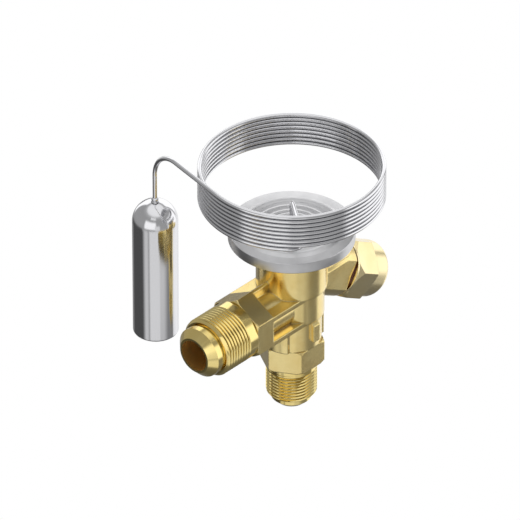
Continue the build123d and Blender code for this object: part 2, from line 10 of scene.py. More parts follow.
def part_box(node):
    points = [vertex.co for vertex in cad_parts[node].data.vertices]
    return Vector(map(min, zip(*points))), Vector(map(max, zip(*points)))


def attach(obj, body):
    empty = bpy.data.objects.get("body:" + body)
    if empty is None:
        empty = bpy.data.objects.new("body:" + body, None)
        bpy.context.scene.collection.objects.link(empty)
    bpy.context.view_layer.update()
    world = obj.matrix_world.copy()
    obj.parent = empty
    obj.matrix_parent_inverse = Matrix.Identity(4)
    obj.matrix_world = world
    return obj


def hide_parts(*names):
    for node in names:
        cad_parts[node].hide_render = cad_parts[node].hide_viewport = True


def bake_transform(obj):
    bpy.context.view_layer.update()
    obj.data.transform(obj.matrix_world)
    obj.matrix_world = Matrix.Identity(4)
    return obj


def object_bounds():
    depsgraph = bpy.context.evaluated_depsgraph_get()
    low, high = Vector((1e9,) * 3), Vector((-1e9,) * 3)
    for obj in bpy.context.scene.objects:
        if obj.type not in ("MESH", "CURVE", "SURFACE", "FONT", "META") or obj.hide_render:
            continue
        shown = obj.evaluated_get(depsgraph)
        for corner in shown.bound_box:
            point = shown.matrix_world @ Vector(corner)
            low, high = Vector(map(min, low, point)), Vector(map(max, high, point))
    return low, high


mm = 0.001  # the frame is in metres
touching = 0.001 * mm  # points this close count as one

print("stage: frame")
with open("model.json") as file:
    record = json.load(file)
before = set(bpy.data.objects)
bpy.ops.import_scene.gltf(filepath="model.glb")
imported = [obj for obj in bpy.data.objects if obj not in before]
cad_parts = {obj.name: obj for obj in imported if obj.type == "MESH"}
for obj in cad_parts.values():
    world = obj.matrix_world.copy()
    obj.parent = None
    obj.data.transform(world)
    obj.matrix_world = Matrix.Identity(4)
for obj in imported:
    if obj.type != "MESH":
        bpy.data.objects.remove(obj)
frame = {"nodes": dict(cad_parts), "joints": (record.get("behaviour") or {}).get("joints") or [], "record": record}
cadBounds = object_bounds()
nodes = frame["nodes"]
mounts = {m["name"]: m for m in frame["record"]["mounts"]}
joints = {j["name"]: j for j in frame["joints"]}


def meshFromGrid(name, grid, closedLoop=False):
    # grid[i, j] is point j of ring i; neighbouring rings are joined by quads, and each end ring
    # is closed by a fan round its middle, unless the last ring joins the first
    rings, around = grid.shape[:2]
    points = grid.reshape(-1, 3)
    i = np.arange(rings if closedLoop else rings - 1)
    a, b = np.meshgrid(i, np.arange(around), indexing="ij")
    a, b = a.ravel(), b.ravel()
    up, side = (a + 1) % rings, (b + 1) % around
    quads = np.stack([a * around + b, a * around + side, up * around + side, up * around + b], 1)
    faces = [tuple(q) for q in quads.tolist()]
    if not closedLoop:
        first, last = len(points), len(points) + 1
        points = np.vstack([points, grid[0].mean(0), grid[-1].mean(0)])
        top = (rings - 1) * around
        faces += [(first, (k + 1) % around, k) for k in range(around)]
        faces += [(last, top + k, top + (k + 1) % around) for k in range(around)]
    mesh = bpy.data.meshes.new(name)
    mesh.from_pydata(points.tolist(), [], faces)
    mesh.validate()
    piece = bpy.data.objects.new(name, mesh)
    bpy.context.scene.collection.objects.link(piece)
    tidyNormals(piece)
    return piece


def tidyNormals(piece, mergeDistance=1e-7):
    work = bmesh.new()
    work.from_mesh(piece.data)
    bmesh.ops.remove_doubles(work, verts=work.verts, dist=mergeDistance)
    bmesh.ops.recalc_face_normals(work, faces=work.faces)
    work.to_mesh(piece.data)
    work.free()


def roundedProfile(corners, arcSteps=6):
    # corners are (radius, height, rounding); a rounded corner becomes an arc that touches both
    # of its sides: centre + rounding * (cos u, sin u), u running between the two touching points
    corners = np.array(corners, float)
    points = []
    for k in range(len(corners)):
        here, rounding = corners[k, :2], corners[k, 2]
        if rounding <= 0 or k in (0, len(corners) - 1):
            points.append(here[None])
            continue
        before = corners[k - 1, :2] - here
        after = corners[k + 1, :2] - here
        before, after = before / np.linalg.norm(before), after / np.linalg.norm(after)
        half = np.arccos(np.clip(before @ after, -1, 1)) / 2
        middle = (before + after) / np.linalg.norm(before + after)
        centre = here + middle * rounding / np.sin(half)
        start = here + before * rounding / np.tan(half) - centre
        end = here + after * rounding / np.tan(half) - centre
        turn = np.arctan2(start[0] * end[1] - start[1] * end[0], start @ end)
        u = np.linspace(0, turn, arcSteps + 1)[:, None]
        across = np.array([-start[1], start[0]])
        points.append(centre + np.cos(u) * start + np.sin(u) * across)
    return np.vstack(points)


def lathe(name, profile, origin, direction, around=256):
    # ring i has radius r_i and stands h_i along the axis; point j of it is turned by
    # 2 pi j / around; a profile that starts away from the axis closes on itself
    along, sideways, upward = axisFrame(direction)
    angle = np.linspace(0, 2 * np.pi, around, endpoint=False)
    radius, height = profile.T
    rim = np.cos(angle)[:, None] * sideways + np.sin(angle)[:, None] * upward
    grid = np.array(origin) + height[:, None, None] * along + radius[:, None, None] * rim[None]
    return meshFromGrid(name, grid, closedLoop=radius[0] > touching)


def smoothByAngle(piece, degrees=32):
    piece.data.shade_smooth()
    piece.data.set_sharp_from_angle(angle=math.radians(degrees))


def axisFrame(direction):
    # two unit vectors square to a direction
    along = np.array(direction, float) / np.linalg.norm(direction)
    helper = np.array([0.0, 1.0, 0.0]) if abs(along[1]) < 0.9 else np.array([1.0, 0.0, 0.0])
    sideways = np.cross(helper, along)
    sideways /= np.linalg.norm(sideways)
    return along, sideways, np.cross(along, sideways)


def threadCutter(name, origin, direction, values):
    # groove that winds round an axis: at turn t its middle stands start + pitch * t along the
    # axis; its four corners are a trapezoid, wide outside the thread and narrow at its root,
    # and over the last part of a turn the section moves outwards by fadeLift of its height
    along, sideways, upward = axisFrame(direction)
    turns = (values["end"] - values["start"]) / values["pitch"]
    steps = int(turns * values["stepsPerTurn"])
    t = np.linspace(0, turns, steps)
    fade = np.clip((t - (turns - values["fadeTurns"])) / values["fadeTurns"], 0, 1)
    lift = fade * (values["depth"] + values["over"]) * values["fadeLift"]
    root = values["radius"] - values["depth"]
    outside = values["radius"] + values["over"]
    slope = (values["width"] - values["rootFlat"]) / 2 / values["depth"]
    wide = values["rootFlat"] / 2 + slope * (outside - root)
    section = np.array([[-wide, outside], [-values["rootFlat"] / 2, root],
                        [values["rootFlat"] / 2, root], [wide, outside]])
    angle = 2 * np.pi * t
    radius = section[None, :, 1] + lift[:, None]
    height = values["start"] + values["pitch"] * t[:, None] + section[None, :, 0]
    grid = (np.array(origin)[None, None, :] + height[..., None] * along
            + radius[..., None] * (np.cos(angle)[:, None, None] * sideways
                                   + np.sin(angle)[:, None, None] * upward))
    return meshFromGrid(name, grid)


def wireCoil(name, values, firstTurn, lastTurn):
    # round wire on a helix: at turn t its middle is (R cos 2 pi t, R sin 2 pi t, start + climb t),
    # with R half of the middle diameter; the ring round it lies in the plane of the outward
    # direction and the helix's own normal
    turnSteps = values["stepsPerTurn"]
    t = np.linspace(firstTurn, lastTurn, int((lastTurn - firstTurn) * turnSteps) + 1)
    climb = (values["high"] - values["low"] - values["wire"]) / values["turns"]
    angle = 2 * np.pi * t
    zero = np.zeros_like(t)
    outward = np.stack([np.cos(angle), np.sin(angle), zero], 1)
    steepness = climb / (np.pi * values["middle"])
    tangent = np.stack([-np.sin(angle), np.cos(angle), zero + steepness], 1)
    tangent /= np.linalg.norm(tangent, axis=1)[:, None]
    normal = np.cross(tangent, outward)
    height = values["low"] + values["wire"] / 2 + climb * t
    centre = outward * values["middle"] / 2 + height[:, None] * np.array([0, 0, 1.0])
    v = np.linspace(0, 2 * np.pi, values["around"], endpoint=False)
    ring = (np.cos(v)[None, :, None] * outward[:, None]
            + np.sin(v)[None, :, None] * normal[:, None])
    return meshFromGrid(name, centre[:, None] + values["wire"] / 2 * ring)


def cutWith(piece, cutters):
    for cutter in cutters:
        cut = piece.modifiers.new("cut", "BOOLEAN")
        cut.operation = "DIFFERENCE"
        cut.solver = "EXACT"
        cut.object = cutter
        bpy.context.view_layer.objects.active = piece
        bpy.ops.object.modifier_apply(modifier=cut.name)
        bpy.data.objects.remove(cutter)


class Finish:
    # a Principled material with short ways to add its texture nodes
    def __init__(self, name, color, roughness, metallic=1.0):
        self.material = bpy.data.materials.new(name)
        self.material.use_nodes = True
        self.tree = self.material.node_tree
        self.shader = self.tree.nodes["Principled BSDF"]
        self.shader.inputs["Base Color"].default_value = (*color, 1)
        self.shader.inputs["Roughness"].default_value = roughness
        self.shader.inputs["Metallic"].default_value = metallic
        self.coordinates = self.tree.nodes.new("ShaderNodeTexCoord").outputs["Object"]

    def node(self, kind, **settings):
        made = self.tree.nodes.new(kind)
        for key, value in settings.items():
            setattr(made, key, value)
        return made

    def link(self, a, b):
        self.tree.links.new(a, b)

    def noise(self, scale, detail=3.0, roughness=0.5, vector=None):
        noise = self.node("ShaderNodeTexNoise")
        noise.inputs["Scale"].default_value = scale
        noise.inputs["Detail"].default_value = detail
        noise.inputs["Roughness"].default_value = roughness
        self.link(vector or self.coordinates, noise.inputs["Vector"])
        return noise.outputs["Fac"]

    def ranged(self, value, low, high, fromLow=0.0, fromHigh=1.0):
        ranged = self.node("ShaderNodeMapRange")
        ranged.inputs["From Min"].default_value = fromLow
        ranged.inputs["From Max"].default_value = fromHigh
        ranged.inputs["To Min"].default_value = low
        ranged.inputs["To Max"].default_value = high
        self.link(value, ranged.inputs["Value"])
        return ranged.outputs["Result"]

    def stretched(self, scale):
        mapping = self.node("ShaderNodeMapping")
        mapping.inputs["Scale"].default_value = scale
        self.link(self.coordinates, mapping.inputs["Vector"])
        return mapping.outputs["Vector"]

    def roughnessFrom(self, value, low, high):
        self.link(self.ranged(value, low, high), self.shader.inputs["Roughness"])

    def colorFrom(self, value, first, second, low=0.35, high=0.65):
        ramp = self.node("ShaderNodeValToRGB")
        ramp.color_ramp.elements[0].position = low
        ramp.color_ramp.elements[1].position = high
        ramp.color_ramp.elements[0].color = (*first, 1)
        ramp.color_ramp.elements[1].color = (*second, 1)
        self.link(value, ramp.inputs["Fac"])
        self.link(ramp.outputs["Color"], self.shader.inputs["Base Color"])

    def relief(self, value, strength, distance, edgeRadius=0.0):
        bump = self.node("ShaderNodeBump")
        bump.inputs["Strength"].default_value = strength
        bump.inputs["Distance"].default_value = distance
        self.link(value, bump.inputs["Height"])
        if edgeRadius:
            self.link(self.softEdge(edgeRadius), bump.inputs["Normal"])
        self.link(bump.outputs["Normal"], self.shader.inputs["Normal"])

    def brushed(self, amount, rotation=0.0):
        # highlights drawn out along or across the rings round the Z axis
        self.shader.inputs["Anisotropic"].default_value = amount
        self.shader.inputs["Anisotropic Rotation"].default_value = rotation
        rings = self.node("ShaderNodeTangent", direction_type="RADIAL", axis="Z")
        self.link(rings.outputs["Tangent"], self.shader.inputs["Tangent"])

    def lacquer(self, weight, roughness):
        self.shader.inputs["Coat Weight"].default_value = weight
        self.shader.inputs["Coat Roughness"].default_value = roughness

    def softEdge(self, radius):
        bevel = self.node("ShaderNodeBevel", samples=6)
        bevel.inputs["Radius"].default_value = radius
        return bevel.outputs["Normal"]

    def paintedShadeMask(self, distance):
        # 0 deep in a narrow gap, 1 on open surface; it sets where shade is painted into a colour
        shade = self.node("ShaderNodeAmbientOcclusion", samples=8)
        shade.inputs["Distance"].default_value = distance
        return shade.outputs["AO"]

    def paintCreviceShade(self, distance, paintedShadeColor, low, high):
        # painted shade: the finish's own colour on open surface, a darker colour painted into corners and thread
        # roots, where shade falls
        shade = self.ranged(self.paintedShadeMask(distance), 0, 1, low, high)
        mix = self.node("ShaderNodeMix", data_type="RGBA")
        base = self.shader.inputs["Base Color"]
        self.link(shade, mix.inputs[0])
        mix.inputs[6].default_value = (*paintedShadeColor, 1)
        if base.is_linked:
            self.link(base.links[0].from_socket, mix.inputs[7])
        else:
            mix.inputs[7].default_value = base.default_value
        self.link(mix.outputs[2], base)

    def ringDistance(self, frequency):
        # distance from the Z axis, for lathe marks that run round it
        flat = self.stretched((1, 1, 0))
        length = self.node("ShaderNodeVectorMath", operation="LENGTH")
        self.link(flat, length.inputs[0])
        rings = self.node("ShaderNodeTexNoise", noise_dimensions="1D")
        rings.inputs["Scale"].default_value = frequency
        rings.inputs["Detail"].default_value = 2.0
        self.link(length.outputs["Value"], rings.inputs["W"])
        return rings.outputs["Fac"]

    def pattern(self, values):
        # lathe rings where the values name them, else cloudy noise (scale, detail, roughness)
        if "rings" in values:
            return self.ringDistance(values["rings"])
        return self.noise(*values["noise"])


def makeFinish(name, values):
    # a plain material, and over it only what its dictionary names: patches of a second colour,
    # painted shade between close parts, painted shade in crevices, uneven polish, fine relief, brushing and
    # lacquer
    finish = Finish(name, values["color"], values["roughness"], values.get("metallic", 1.0))
    if "patches" in values:
        finish.colorFrom(finish.pattern(values["patches"]), *values["patches"]["colors"])
    if "paintedGapShade" in values:
        # painted shade: a dark colour in the narrow gaps between close parts, such as a coil's turns
        paintedGapShade = values["paintedGapShade"]
        finish.colorFrom(finish.paintedShadeMask(paintedGapShade["distance"]), *paintedGapShade["colors"], *paintedGapShade["range"])
    if "paintedCreviceShade" in values:
        # painted shade: darker colour in corners and thread roots
        finish.paintCreviceShade(**values["paintedCreviceShade"])
    if "polish" in values:
        finish.roughnessFrom(finish.pattern(values["polish"]), *values["polish"]["range"])
    if "relief" in values:
        relief = values["relief"]
        finish.relief(finish.pattern(relief), relief["strength"], relief["height"],
                      relief.get("edge", 0.0))
    if "brushed" in values:
        finish.brushed(*values["brushed"])
    if "lacquer" in values:
        finish.lacquer(*values["lacquer"])
    return finish.material


print("stage: finishes")
finishValues = {
    "forgedBrass": {
        "color": (0.91, 0.74, 0.33), "roughness": 0.26,
        "patches": {"noise": (160, 4), "colors": ((0.84, 0.65, 0.26), (0.91, 0.74, 0.33))},
        "polish": {"noise": (420, 5), "range": (0.13, 0.24)},
        # painted shade: a darker brown in the forging's corners and pockets
        "paintedCreviceShade": {"distance": 1.8 * mm, "paintedShadeColor": (0.28, 0.19, 0.08), "low": 0.32, "high": 0.68},
        "relief": {"noise": (3400, 3, 0.6), "strength": 0.4, "height": 0.05 * mm,
                   "edge": 0.5 * mm},
        "lacquer": (0.35, 0.12),
    },
    "machinedBrass": {
        "color": (0.94, 0.77, 0.32), "roughness": 0.16,
        "patches": {"noise": (90, 3), "colors": ((0.90, 0.70, 0.25), (0.94, 0.77, 0.32))},
        "polish": {"noise": (300, 4), "range": (0.09, 0.16)},
        # painted shade: near black in the thread roots and corners
        "paintedCreviceShade": {"distance": 0.65 * mm, "paintedShadeColor": (0.12, 0.07, 0.02), "low": 0.36, "high": 0.78},
        "relief": {"noise": (2500, 2), "strength": 0.05, "height": 0.05 * mm},
        "lacquer": (0.3, 0.08),
    },
    "boredBrass": {
        "color": (0.84, 0.56, 0.17), "roughness": 0.4, "metallic": 0.88,
        "polish": {"noise": (600, 3), "range": (0.34, 0.46)},
        "relief": {"noise": (2000, 2), "strength": 0.1, "height": 0.05 * mm},
    },
    "capBrass": {
        "color": (0.94, 0.80, 0.46), "roughness": 0.18,
        "patches": {"noise": (100, 3), "colors": ((0.90, 0.74, 0.38), (0.95, 0.81, 0.47))},
        "polish": {"noise": (350, 4), "range": (0.15, 0.26)},
        "relief": {"noise": (1800, 3), "strength": 0.07, "height": 0.06 * mm, "edge": 0.3 * mm},
        "lacquer": (0.3, 0.1),
    },
    "turnedBrass": {
        "color": (0.88, 0.70, 0.34), "roughness": 0.25,
        "polish": {"noise": (500, 3), "range": (0.2, 0.34)},
        "relief": {"rings": 9000, "strength": 0.1, "height": 0.03 * mm, "edge": 0.1 * mm},
    },
    "turnedSteel": {
        "color": (0.64, 0.64, 0.65), "roughness": 0.36,
        "patches": {"noise": (220, 4), "colors": ((0.58, 0.58, 0.59), (0.64, 0.64, 0.65))},
        "polish": {"rings": 2600, "range": (0.27, 0.36)},
        "relief": {"rings": 6000, "strength": 0.07, "height": 0.04 * mm, "edge": 0.2 * mm},
        "brushed": (0.35,),
    },
    "drawnSteel": {
        "color": (0.72, 0.72, 0.74), "roughness": 0.2,
        # painted shade: near black between the coil's turns, the steel's own colour on open surface
        "paintedGapShade": {"distance": 1.3 * mm, "range": (0.38, 0.86),
                 "colors": ((0.07, 0.075, 0.10), (0.76, 0.76, 0.78))},
        "polish": {"noise": (260, 3), "range": (0.08, 0.16)},
        "relief": {"noise": (900, 3), "strength": 0.015, "height": 0.04 * mm},
    },
    "mirrorSteel": {
        "color": (0.76, 0.76, 0.78), "roughness": 0.05,
        "polish": {"noise": (40, 2), "range": (0.10, 0.14)},
        "brushed": (0.85, 0.25),
    },
    "gearSteel": {
        "color": (0.52, 0.52, 0.54), "roughness": 0.32,
        "polish": {"noise": (700, 3), "range": (0.25, 0.42)},
        "relief": {"noise": (2400, 3), "strength": 0.08, "height": 0.04 * mm, "edge": 0.08 * mm},
    },
    "springSteel": {
        "color": (0.40, 0.40, 0.43), "roughness": 0.3,
        "polish": {"noise": (800, 3), "range": (0.22, 0.4)},
    },
    "gasketRed": {
        "color": (0.10, 0.012, 0.008), "roughness": 0.45, "metallic": 0.0,
        "patches": {"noise": (700, 3), "colors": ((0.07, 0.008, 0.006), (0.13, 0.018, 0.01))},
        "relief": {"noise": (2200, 3), "strength": 0.1, "height": 0.05 * mm, "edge": 0.15 * mm},
    },
    "rubberBlack": {
        "color": (0.02, 0.02, 0.02), "roughness": 0.5, "metallic": 0.0,
        "polish": {"noise": (600, 3), "range": (0.42, 0.6)},
    },
    "sealWhite": {
        "color": (0.82, 0.82, 0.79), "roughness": 0.4, "metallic": 0.0,
        "polish": {"noise": (600, 3), "range": (0.34, 0.5)},
    },
}
finishes = {name: makeFinish(name, values) for name, values in finishValues.items()}

# the nodes that keep their own mesh; the others are replaced further down
nodesByFinish = {
    "turnedSteel": ["diaphragm"],
    "drawnSteel": ["element_collar", "capillary_tube"],
    "gearSteel": ["thrust_plate", "push_rod", "adjusting_ring", "setting_spindle",
                  "metering_pin", "strainer_screen"],
    "turnedBrass": ["packing_washer", "spring_seat", "spindle_bush", "orifice_body",
                    "spring_retainer", "strainer_frame"],
    "capBrass": ["seal_cap"],
    "sealWhite": ["packing_ring", "orifice_seal"],
    "rubberBlack": ["spindle_o_ring"],
}
for finishName, nodeNames in nodesByFinish.items():
    for nodeName in nodeNames:
        nodeMesh = nodes[nodeName].data
        nodeMesh.materials.clear()
        nodeMesh.materials.append(finishes[finishName])


print("stage: body")
bodyValues = {
    "mouth": (-43.5 * mm, 0, 38.6 * mm),  # middle of the outlet's open end
    "capSetback": 30 * mm,                # along the boss, from the neck's axis to the cap's joint
    "spigotEnd": 27.3 * mm,               # these two are along the boss as well
    "spigotShoulder": 21.25 * mm,         # machined from here outwards
    "inletHexBottom": 15.4 * mm,          # machined below
    "outletHexStart": -25.0 * mm,         # machined beyond, along X
    "outletBore": 5.2 * mm,               # just over the bores' radii
    "outletBoreEnd": -3 * mm,
    "inletBore": 4.3 * mm,
    "bareEdge": 0.01 * mm,                # the flat end faces aren't part of the bores
    "sharpAngle": 30,
    "inletThread": {
        "radius": mounts["inlet_thread"]["dims"]["r_mm"] * mm, "depth": 0.6 * mm,
        "over": 0.15 * mm, "pitch": 1.12 * mm, "width": 0.98 * mm, "rootFlat": 0.14 * mm,
        "start": 2.7 * mm, "end": 13.6 * mm, "fadeTurns": 0.5, "fadeLift": 0.98,
        "stepsPerTurn": 96,
    },
    "outletThread": {
        "radius": mounts["outlet_thread"]["dims"]["r_mm"] * mm, "depth": 0.62 * mm,
        "over": 0.15 * mm, "pitch": 1.16 * mm, "width": 1.02 * mm, "rootFlat": 0.14 * mm,
        "start": 4.6 * mm, "end": 15.4 * mm, "fadeTurns": 0.5, "fadeLift": 0.98,
        "stepsPerTurn": 96,
    },
    "spigotThread": {
        "radius": 6.6 * mm, "depth": 0.5 * mm,
        "over": 0.04 * mm, "pitch": 1.0 * mm, "width": 0.84 * mm, "rootFlat": 0.14 * mm,
        "start": -0.6 * mm, "end": 4.6 * mm, "fadeTurns": 0.5, "fadeLift": 0.98,
        "stepsPerTurn": 72,
    },
}
v = bodyValues
capAxis = np.array(joints["cap_travel"]["axis"])
bossApex = np.array(joints["cap_turn"]["pos_m"]) - capAxis * v["capSetback"]
mouth = np.array(v["mouth"])
source = nodes["valve_body"].data
corners = np.zeros(len(source.vertices) * 3)
source.vertices.foreach_get("co", corners)
bodyMesh = bpy.data.meshes.new("threadedBody")
bodyMesh.from_pydata(corners.reshape(-1, 3).tolist(), [],
                     [tuple(p.vertices) for p in source.polygons])
threadedBody = bpy.data.objects.new("threadedBody", bodyMesh)
bpy.context.scene.collection.objects.link(threadedBody)
tidyNormals(threadedBody, touching)
cutWith(threadedBody, [
    threadCutter("inletGroove", (0, 0, 0), (0, 0, 1), v["inletThread"]),
    threadCutter("outletGroove", mouth, (1, 0, 0), v["outletThread"]),
    threadCutter("spigotGroove", bossApex + capAxis * v["spigotEnd"], -capAxis, v["spigotThread"]),
])
smoothByAngle(threadedBody, v["sharpAngle"])
threadedBody.data.materials.clear()
for finishName in ("forgedBrass", "machinedBrass", "boredBrass"):
    threadedBody.data.materials.append(finishes[finishName])
forgedIndex, machinedIndex, boredIndex = 0, 1, 2
centres = np.zeros(len(threadedBody.data.polygons) * 3)
threadedBody.data.polygons.foreach_get("center", centres)
centres = centres.reshape(-1, 3)
alongBoss = (centres - bossApex) @ capAxis
machined = ((centres[:, 2] < v["inletHexBottom"] + touching)
            | (centres[:, 0] < v["outletHexStart"] + touching)
            | (alongBoss > v["spigotShoulder"]))
outletBore = ((np.hypot(centres[:, 1], centres[:, 2] - mouth[2]) < v["outletBore"])
              & (centres[:, 0] < v["outletBoreEnd"])
              & (centres[:, 0] > mouth[0] + v["bareEdge"]))
inletBore = ((np.hypot(centres[:, 0], centres[:, 1]) < v["inletBore"])
             & (centres[:, 2] > v["bareEdge"]))
finishOf = np.where(outletBore | inletBore, boredIndex,
                    np.where(machined, machinedIndex, forgedIndex))
threadedBody.data.polygons.foreach_set("material_index", finishOf.astype(np.int32))
threadedBody.data.update()
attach(threadedBody, "valve")
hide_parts("valve_body")
print("body triangles", sum(len(p.vertices) - 2 for p in threadedBody.data.polygons))


print("stage: bulb")
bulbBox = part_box("sensing_bulb")
bulbAxis = [(bulbBox[0][k] + bulbBox[1][k]) / 2 for k in range(2)]
bulbValues = {
    "radius": mounts["sensing_bulb"]["dims"]["r_mm"] * mm,
    "bottom": bulbBox[0][2],
    "top": bulbBox[1][2],
    "bottomEdge": 0.8 * mm,
    "domeGap": 0.1 * mm,   # the straight wall stops this far under the dome
    "domeSteps": 40,
    "edgeSteps": 12,
    "sharpAngle": 40,
}
v = bulbValues
domeTurn = np.linspace(0, np.pi / 2, v["domeSteps"])
domeStart = v["top"] - v["radius"]
dome = np.stack([v["radius"] * np.cos(domeTurn), domeStart + v["radius"] * np.sin(domeTurn)], 1)
bulbFoot = roundedProfile([
    (0, v["bottom"], 0),
    (v["radius"], v["bottom"], v["bottomEdge"]),
    (v["radius"], domeStart - v["domeGap"], 0),
], v["edgeSteps"])
polishedBulb = lathe("polishedBulb", np.vstack([bulbFoot, dome]), (*bulbAxis, 0), (0, 0, 1))
smoothByAngle(polishedBulb, v["sharpAngle"])
polishedBulb.data.materials.append(finishes["mirrorSteel"])
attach(polishedBulb, "valve")
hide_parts("sensing_bulb")


print("stage: gasket and bead")
gasketValues = {
    "inner": 6.66 * mm,
    "outer": 8.2 * mm,
    "start": 21.3 * mm,   # along the boss, from the neck's axis
    "end": 22.1 * mm,
    "edge": 0.15 * mm,
    "around": 160,
    "sharpAngle": 40,
}
v = gasketValues
sealGasket = lathe("sealGasket", roundedProfile([
    (v["inner"], v["start"], 0),
    (v["outer"], v["start"], v["edge"]),
    (v["outer"], v["end"], v["edge"]),
    (v["inner"], v["end"], 0)]), bossApex, capAxis, v["around"])
smoothByAngle(sealGasket, v["sharpAngle"])
sealGasket.data.materials.append(finishes["gasketRed"])
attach(sealGasket, "cap_gasket")
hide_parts("cap_gasket")


# the bead of braze where the tube enters the bulb
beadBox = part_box("bulb_collar")
beadAxis = [(beadBox[0][k] + beadBox[1][k]) / 2 for k in range(2)]
beadValues = {
    "bottom": beadBox[0][2],
    "tube": 0.74 * mm,
    "height": 1.5 * mm,
    "foot": 1.3 * mm,     # radii, from the bulb upwards
    "waist": 0.92 * mm,
    "ball": 1.16 * mm,
    "lip": 0.06 * mm,     # wider than the tube at the top
    "waistAt": 0.25,      # shares of the height
    "ballFrom": 0.5,
    "ballTo": 0.75,
    "waistEdge": 0.15 * mm,
    "ballEdge": 0.3 * mm,
    "shoulderEdge": 0.2 * mm,
    "around": 96,
    "sharpAngle": 50,
}
v = beadValues
beadTop = v["bottom"] + v["height"]
beadProfile = roundedProfile([
    (v["tube"], v["bottom"], 0),
    (v["foot"], v["bottom"], 0),
    (v["waist"], v["bottom"] + v["waistAt"] * v["height"], v["waistEdge"]),
    (v["ball"], v["bottom"] + v["ballFrom"] * v["height"], v["ballEdge"]),
    (v["ball"], v["bottom"] + v["ballTo"] * v["height"], v["shoulderEdge"]),
    (v["tube"] + v["lip"], beadTop, 0),
    (v["tube"], beadTop, 0)])
brazedBead = lathe("brazedBead", beadProfile, (*beadAxis, 0), (0, 0, 1), v["around"])
smoothByAngle(brazedBead, v["sharpAngle"])
brazedBead.data.materials.append(finishes["drawnSteel"])
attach(brazedBead, "valve")
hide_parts("bulb_collar")


print("stage: springs")
# in the valve each spring shortens as the stem and the spring seat move; here the coils are built once, at rest,
# and nothing moves them; middle is its middle diameter
springBox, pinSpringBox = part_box("superheat_spring"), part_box("pin_spring")
superheatCoil = {"low": springBox[0][2], "high": springBox[1][2], "wire": 0.9 * mm,
                 "middle": 10.0 * mm, "turns": 3.0, "stepsPerTurn": 64, "around": 20}
pinCoil = {"low": pinSpringBox[0][2], "high": pinSpringBox[1][2], "wire": 0.45 * mm,
           "middle": 3.0 * mm, "turns": 4.0, "stepsPerTurn": 48, "around": 16}
coilSharpAngle = 50
halfTurns = superheatCoil["turns"] / 2
seatCoils = wireCoil("seatCoils", superheatCoil, 0, halfTurns)
plateCoils = wireCoil("plateCoils", superheatCoil, halfTurns, superheatCoil["turns"])
pinCoils = wireCoil("pinCoils", pinCoil, 0, pinCoil["turns"])
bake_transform(seatCoils)
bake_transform(plateCoils)
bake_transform(pinCoils)
for coils, node in ((seatCoils, "superheat_spring"), (plateCoils, "superheat_spring"),
                    (pinCoils, "pin_spring")):
    smoothByAngle(coils, coilSharpAngle)
    coils.data.materials.append(finishes["springSteel"])
    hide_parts(node)


print("stage: element")
housingBox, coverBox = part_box("element_housing"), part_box("element_cover")
elementValues = {
    "radius": coverBox[1][0],
    "around": 288,
    "sharpAngle": 30,
    "seam": 62.1 * mm,            # heights of the rim
    "rimTop": 63.9 * mm,
    "rimBottom": 60.1 * mm,
    "rimEdge": 0.22 * mm,
    "chamber": 15.2 * mm,         # radius of the room for the diaphragm
    "tubeHole": 0.74 * mm,
    # cover
    "skirt": 0.3 * mm,            # wall that laps over the housing; it ends this far over rimBottom
    "skirtEdge": 0.12 * mm,
    "coverWall": 0.9 * mm,
    "roofFlat": 13.4 * mm,
    "ridge": 14.6 * mm,           # raised ring
    "ridgeHeight": 0.62 * mm,
    # the ridge's corners: how far out from its radius, and how much each is rounded
    "ridgeOut": [(1.6 * mm, 0.8 * mm), (0.5 * mm, 0.6 * mm), (-0.4 * mm, 0.5 * mm),
                 (-1.4 * mm, 0.6 * mm)],
    "dish": 64.2 * mm,
    "waves": [11.1 * mm, 8.7 * mm, 6.8 * mm, 5.1 * mm],   # radii of the rings in the dish
    "waveHeight": 0.12 * mm,
    "waveHalfWidth": 0.7 * mm,
    "waveEdge": 0.5 * mm,
    "waveFootEdge": 0.3 * mm,
    # housing
    "sleeveInner": 7.7 * mm,
    "sleeveOuter": 8.88 * mm,
    "neckTop": 58.1 * mm,
    "floor": 59.4 * mm,
    "foot": 11.6 * mm,            # radius where it sits on the neck
    "footEdge": 0.2 * mm,
    "coneEnd": 2 * mm,            # the cone reaches the rim this far inside the radius
    "coneEdge": 0.6 * mm,
    "lapGap": 0.01 * mm,          # between the housing and the cover's skirt
    "lapEdge": 0.2 * mm,
}
v = elementValues
coverInside = v["radius"] - v["skirt"]
skirtFoot = v["rimBottom"] + v["skirt"]
ridgeTop = v["rimTop"] + v["ridgeHeight"]
ridgeHeights = (v["rimTop"], ridgeTop, ridgeTop, v["dish"])
ridge = [(v["ridge"] + out, height, edge)
         for (out, edge), height in zip(v["ridgeOut"], ridgeHeights)]
waves = []
for wave in v["waves"]:
    waves += [(wave + v["waveHalfWidth"], v["dish"], v["waveFootEdge"]),
              (wave, v["dish"] + v["waveHeight"], v["waveEdge"]),
              (wave - v["waveHalfWidth"], v["dish"], v["waveFootEdge"])]
coverProfile = roundedProfile(
    [(v["tubeHole"], v["dish"] - v["coverWall"], 0),
     (v["roofFlat"], v["dish"] - v["coverWall"], 0),
     (v["chamber"], v["rimTop"] - v["coverWall"], 0),
     (v["chamber"], v["seam"], 0),
     (coverInside, v["seam"], 0),
     (coverInside, skirtFoot, 0),
     (v["radius"], skirtFoot, v["skirtEdge"]),
     (v["radius"], v["rimTop"], v["rimEdge"])]
    + ridge + waves + [(v["tubeHole"], v["dish"], 0)])
turnedCover = lathe("turnedCover", coverProfile, (0, 0, 0), (0, 0, 1), v["around"])
smoothByAngle(turnedCover, v["sharpAngle"])
turnedCover.data.materials.append(finishes["turnedSteel"])
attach(turnedCover, "valve")
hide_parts("element_cover")

